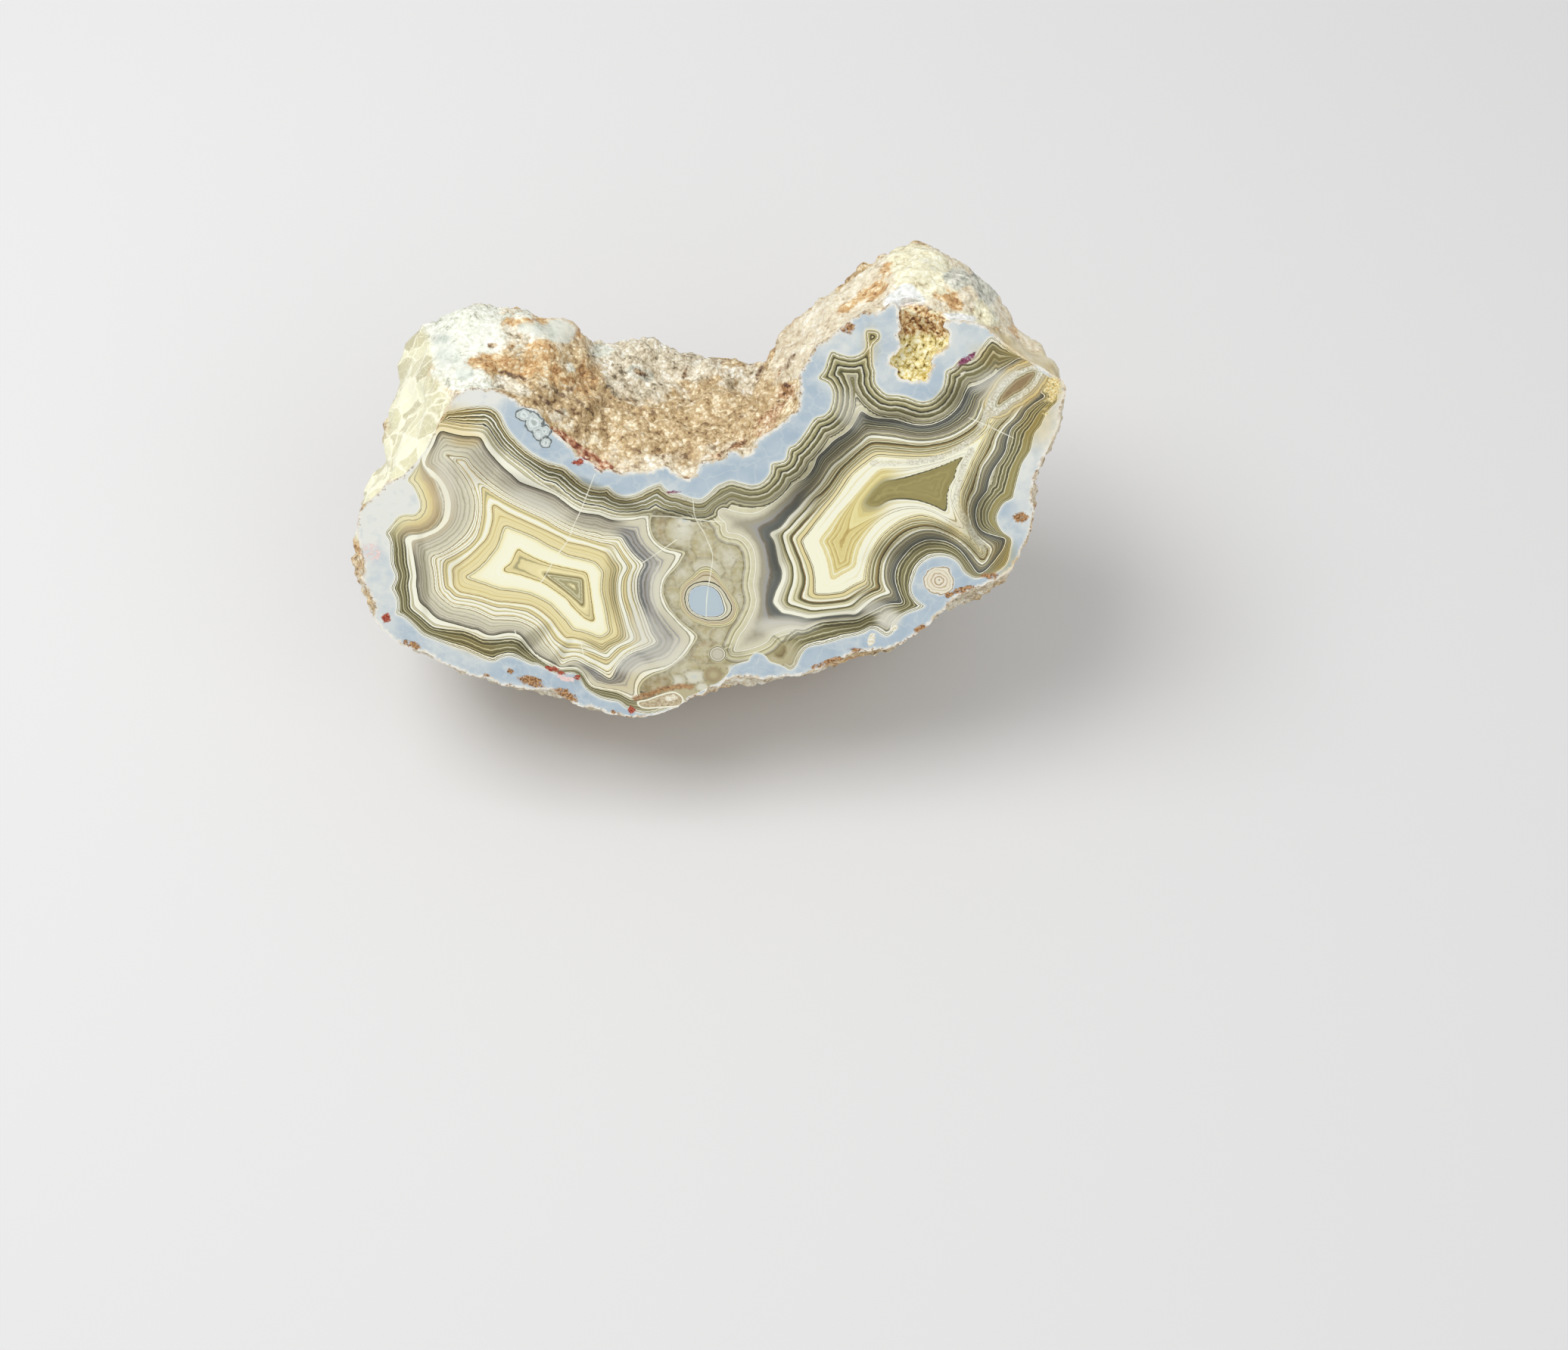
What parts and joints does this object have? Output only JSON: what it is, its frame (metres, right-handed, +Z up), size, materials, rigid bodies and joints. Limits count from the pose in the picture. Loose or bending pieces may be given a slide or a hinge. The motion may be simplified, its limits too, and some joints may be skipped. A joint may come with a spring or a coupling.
{
  "type": "banded agate half nodule",
  "caption": "Sawn half of a crescent-shaped banded agate nodule, with a flat polished face and a rough lumpy rind, lying on a small flat spot.",
  "frame": {"origin": "middle of the bounding box at the level that the stone rests on", "axes": "+Z up, +X along the stone's length, the cut face looks towards -Y and 37 degrees above the horizontal"},
  "size_m": [0.0986, 0.056, 0.0664],
  "materials": {
    "agate": "polished banded cut face and rough granular rind"
  },
  "bodies": {
    "root": {"agate_half": "agate"}
  },
  "joints": []
}
